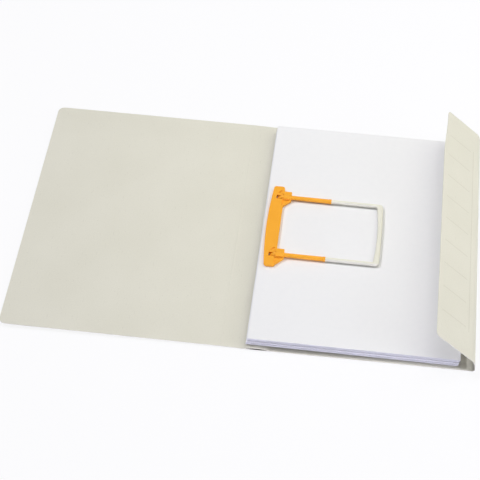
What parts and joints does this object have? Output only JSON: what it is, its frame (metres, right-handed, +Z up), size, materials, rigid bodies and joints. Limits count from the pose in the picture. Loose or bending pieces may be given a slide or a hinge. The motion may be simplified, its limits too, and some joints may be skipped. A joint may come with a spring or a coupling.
{
  "type": "clip folder",
  "caption": "Scored board folder lying open, with a gusseted side flap and a plastic tube clip that holds a stack of punched sheets.",
  "frame": {"origin": "middle of the back cover's underside, on the table", "axes": "+X from the spine crease to the flap, +Y to the head of the page, +Z up"},
  "size_m": [0.4774, 0.31, 0.0542],
  "materials": {
    "board": "matt buff-grey recycled board",
    "strip_board": "matt buff-grey recycled board",
    "paper": "uncoated white paper",
    "orange_plastic": "satin moulded plastic",
    "cream_plastic": "satin moulded plastic"
  },
  "bodies": {
    "base": {"back_cover": "board", "clip_strip": "strip_board", "clip_base": "orange_plastic", "elbow_upper": "orange_plastic", "elbow_lower": "orange_plastic", "sheaf_1": "paper", "sheaf_2": "paper", "sheaf_3": "paper", "sheaf_4": "paper", "sheaf_5": "paper"},
    "spine": {"spine_panel": "board"},
    "cover": {"front_cover": "board"},
    "gusset": {"flap_gusset": "board"},
    "flap": {"flap": "board"},
    "prongs": {"prong_upper": "orange_plastic", "prong_lower": "orange_plastic"},
    "tube": {"u_tube": "cream_plastic"},
    "bar": {"press_bar": "orange_plastic"}
  },
  "joints": [
    {"name": "spine_fold", "type": "hinge", "parent": "base", "child": "spine", "pos_m": [-0.114, 0, 0.0003], "axis": [0, 1, 0], "range_deg": [0, 90]},
    {"name": "cover_fold", "type": "hinge", "parent": "spine", "child": "cover", "pos_m": [-0.13809, 0, 0.0003], "axis": [0, 1, 0], "range_deg": [0, 90]},
    {"name": "gusset_fold", "type": "hinge", "parent": "base", "child": "gusset", "pos_m": [0.114, 0, 0.0003], "axis": [0, 1, 0], "range_deg": [0, 97]},
    {"name": "flap_fold", "type": "hinge", "parent": "gusset", "child": "flap", "pos_m": [0.11227, 0, 0.01441], "axis": [0, 1, 0], "range_deg": [-44, 39]},
    {"name": "clip_fold", "type": "hinge", "parent": "base", "child": "prongs", "pos_m": [-0.0984, 0, 0.01496], "axis": [0, 1, 0], "range_deg": [-91.1, 0], "deforming": ["elbow_upper", "elbow_lower"]},
    {"name": "tube_pull", "type": "slide", "parent": "prongs", "child": "tube", "axis": [0.9998, 0, -0.0192], "range_m": [0, 0.03]},
    {"name": "bar_lift", "type": "slide", "parent": "base", "child": "bar", "axis": [0, 0, 1], "range_m": [0, 0.0031]}
  ],
  "couplings": [
    {"joint": "bar_lift", "follows": "clip_fold", "m_per_rad": -0.0019}
  ]
}
